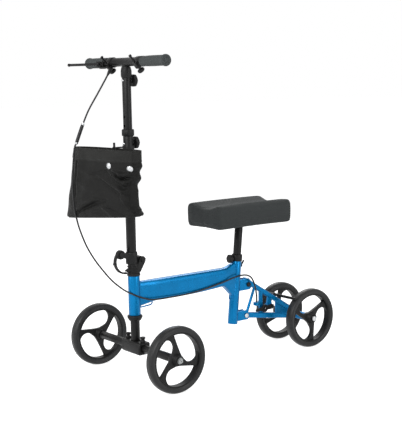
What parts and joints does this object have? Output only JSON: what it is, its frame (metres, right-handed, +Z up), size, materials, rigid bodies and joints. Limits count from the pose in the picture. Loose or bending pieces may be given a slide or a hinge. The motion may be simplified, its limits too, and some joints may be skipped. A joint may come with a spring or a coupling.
{
  "type": "knee walker",
  "caption": "Steerable knee walker with a padded knee rest, folding telescopic column, handlebar, hand lever, cable and rear brake, and a front bag.",
  "frame": {"origin": "middle of the footprint on the floor, half way between the foremost point of the brake cable and the rear tyres", "axes": "+Z up, -Y the way the rider faces, +X the rider's left"},
  "size_m": [0.4516, 0.8563, 0.934],
  "materials": {
    "blue_paint": "gloss",
    "black_paint": "satin",
    "black_plastic": "satin",
    "tyre_rubber": "matte",
    "grip_foam": "matte",
    "bright_steel": "polished",
    "pad_cloth": "woven",
    "bag_nylon": "woven",
    "cable_skin": "satin"
  },
  "bodies": {
    "frame": {"main_beam": "blue_paint", "head_tube": "blue_paint", "seat_tube": "blue_paint", "rear_frame": "blue_paint", "rear_axle": "bright_steel", "seat_collar": "black_plastic", "lower_head_cup": "black_plastic", "upper_head_cup": "black_plastic", "lower_bracket_bolt": "bright_steel", "upper_bracket_bolt": "black_plastic", "brake_cable_frame": "cable_skin"},
    "steering": {"steerer": "black_paint", "axle_housing": "black_paint", "front_axle_left": "black_paint", "front_axle_right": "black_paint", "front_axle_nut_left": "bright_steel", "front_axle_nut_right": "bright_steel", "hinge_base": "black_plastic", "fold_pin": "black_plastic", "brake_cable_steering": "cable_skin"},
    "front_left_wheel": {"front_left_wheel": "black_plastic", "front_left_tyre": "tyre_rubber"},
    "front_right_wheel": {"front_right_wheel": "black_plastic", "front_right_tyre": "tyre_rubber"},
    "rear_left_wheel": {"rear_left_wheel": "black_plastic", "rear_left_tyre": "tyre_rubber"},
    "rear_right_wheel": {"rear_right_wheel": "black_plastic", "rear_right_tyre": "tyre_rubber"},
    "axle_pin_left": {"axle_lock_pin_left": "black_plastic"},
    "axle_pin_right": {"axle_lock_pin_right": "black_plastic"},
    "brake_crank": {"brake_crank": "black_paint"},
    "column": {"lower_column_tube": "black_paint", "hinge_yoke": "black_plastic", "lower_collar": "black_plastic", "bag": "bag_nylon", "bag_bracket": "black_plastic", "brake_cable_column": "cable_skin"},
    "cam_lever": {"cam_lever": "black_plastic"},
    "lower_knob": {"lower_column_knob": "black_plastic"},
    "lower_button": {"lower_snap_button": "bright_steel"},
    "mast": {"upper_column_tube": "black_paint", "top_collar": "black_plastic", "cable_sleeve": "cable_skin"},
    "upper_knob": {"upper_column_knob": "black_plastic"},
    "upper_button": {"upper_snap_button": "bright_steel"},
    "bars": {"t_head": "black_paint", "handlebar": "black_paint", "left_grip": "grip_foam", "right_grip": "grip_foam", "lever_perch": "black_plastic", "brake_cable_upper": "cable_skin"},
    "left_bar_knob": {"left_bar_knob": "black_plastic"},
    "right_bar_knob": {"right_bar_knob": "black_plastic"},
    "brake_lever": {"brake_lever": "black_paint"},
    "seat": {"pad": "pad_cloth", "pad_plate": "black_paint", "seat_post": "black_paint"},
    "seat_knob": {"seat_knob": "black_plastic"},
    "seat_pin": {"seat_pin": "black_plastic"}
  },
  "joints": [
    {"name": "steering_turn", "type": "hinge", "parent": "frame", "child": "steering", "pos_m": [0, -0.29177, 0.188], "axis": [0, 0, 1], "range_deg": [-40, 40], "deforming": ["brake_cable_steering", "brake_cable_frame"]},
    {"name": "front_left_spin", "type": "hinge", "parent": "steering", "child": "front_left_wheel", "pos_m": [0.201, -0.29177, 0.095], "axis": [1, 0, 0], "continuous": true},
    {"name": "front_right_spin", "type": "hinge", "parent": "steering", "child": "front_right_wheel", "pos_m": [-0.201, -0.29177, 0.095], "axis": [1, 0, 0], "continuous": true},
    {"name": "rear_left_spin", "type": "hinge", "parent": "frame", "child": "rear_left_wheel", "pos_m": [0.0735, 0.33323, 0.095], "axis": [1, 0, 0], "continuous": true},
    {"name": "rear_right_spin", "type": "hinge", "parent": "frame", "child": "rear_right_wheel", "pos_m": [-0.0735, 0.33323, 0.095], "axis": [1, 0, 0], "continuous": true},
    {"name": "axle_pin_left_pull", "type": "slide", "parent": "steering", "child": "axle_pin_left", "axis": [0, 0, 1], "range_m": [0, 0.012]},
    {"name": "axle_pin_right_pull", "type": "slide", "parent": "steering", "child": "axle_pin_right", "axis": [0, 0, 1], "range_m": [0, 0.012]},
    {"name": "column_fold", "type": "hinge", "parent": "steering", "child": "column", "pos_m": [0, -0.26927, 0.3501], "axis": [-1, 0, 0], "range_deg": [0, 50]},
    {"name": "cam_lever_open", "type": "hinge", "parent": "column", "child": "cam_lever", "pos_m": [0, -0.33577, 0.37], "axis": [-1, 0, 0], "range_deg": [0, 100]},
    {"name": "lower_knob_turn", "type": "hinge", "parent": "column", "child": "lower_knob", "pos_m": [0, -0.27877, 0.688], "axis": [0, 1, 0], "range_deg": [0, 360]},
    {"name": "lower_button_press", "type": "slide", "parent": "column", "child": "lower_button", "axis": [0, 1, 0], "range_m": [0, 0.0035], "stiffness_N_per_m": 300, "springref_m": -0.006},
    {"name": "column_slide", "type": "slide", "parent": "column", "child": "mast", "axis": [0, 0, 1], "range_m": [-0.075, 0.05], "deforming": ["brake_cable_column", "cable_sleeve", "brake_cable_upper"]},
    {"name": "upper_knob_turn", "type": "hinge", "parent": "mast", "child": "upper_knob", "pos_m": [0, -0.28057, 0.863], "axis": [0, 1, 0], "range_deg": [0, 360]},
    {"name": "upper_button_press", "type": "slide", "parent": "mast", "child": "upper_button", "axis": [0, 1, 0], "range_m": [0, 0.0035], "stiffness_N_per_m": 300, "springref_m": -0.006},
    {"name": "bars_slide", "type": "slide", "parent": "mast", "child": "bars", "axis": [0, 0, 1], "range_m": [0, 0.05]},
    {"name": "left_bar_knob_turn", "type": "hinge", "parent": "bars", "child": "left_bar_knob", "pos_m": [0.0725, -0.30834, 0.90503], "axis": [0, 0.6691, -0.7431], "range_deg": [0, 360]},
    {"name": "right_bar_knob_turn", "type": "hinge", "parent": "bars", "child": "right_bar_knob", "pos_m": [-0.0725, -0.30834, 0.90503], "axis": [0, 0.6691, -0.7431], "range_deg": [0, 360]},
    {"name": "brake_lever_pull", "type": "hinge", "parent": "bars", "child": "brake_lever", "pos_m": [-0.0935, -0.33127, 0.911], "axis": [0, 0, -1], "range_deg": [0, 20], "stiffness_Nm_per_rad": 0.5, "springref_deg": -5.73},
    {"name": "brake_crank_swing", "type": "hinge", "parent": "frame", "child": "brake_crank", "pos_m": [0, 0.22344, 0.13969], "axis": [-1, 0, 0], "range_deg": [0, 3]},
    {"name": "seat_slide", "type": "slide", "parent": "frame", "child": "seat", "axis": [0, 0.1028, 0.9947], "range_m": [-0.05, 0.06]},
    {"name": "seat_knob_turn", "type": "hinge", "parent": "frame", "child": "seat_knob", "pos_m": [0, 0.09323, 0.30722], "axis": [0, -0.9947, 0.1028], "range_deg": [0, 360]},
    {"name": "seat_pin_pull", "type": "slide", "parent": "frame", "child": "seat_pin", "axis": [0, 0.9947, -0.1028], "range_m": [0, 0.008], "stiffness_N_per_m": 200, "springref_m": -0.005}
  ],
  "couplings": [
    {"joint": "brake_crank_swing", "follows": "brake_lever_pull", "ratio": 0.15}
  ]
}
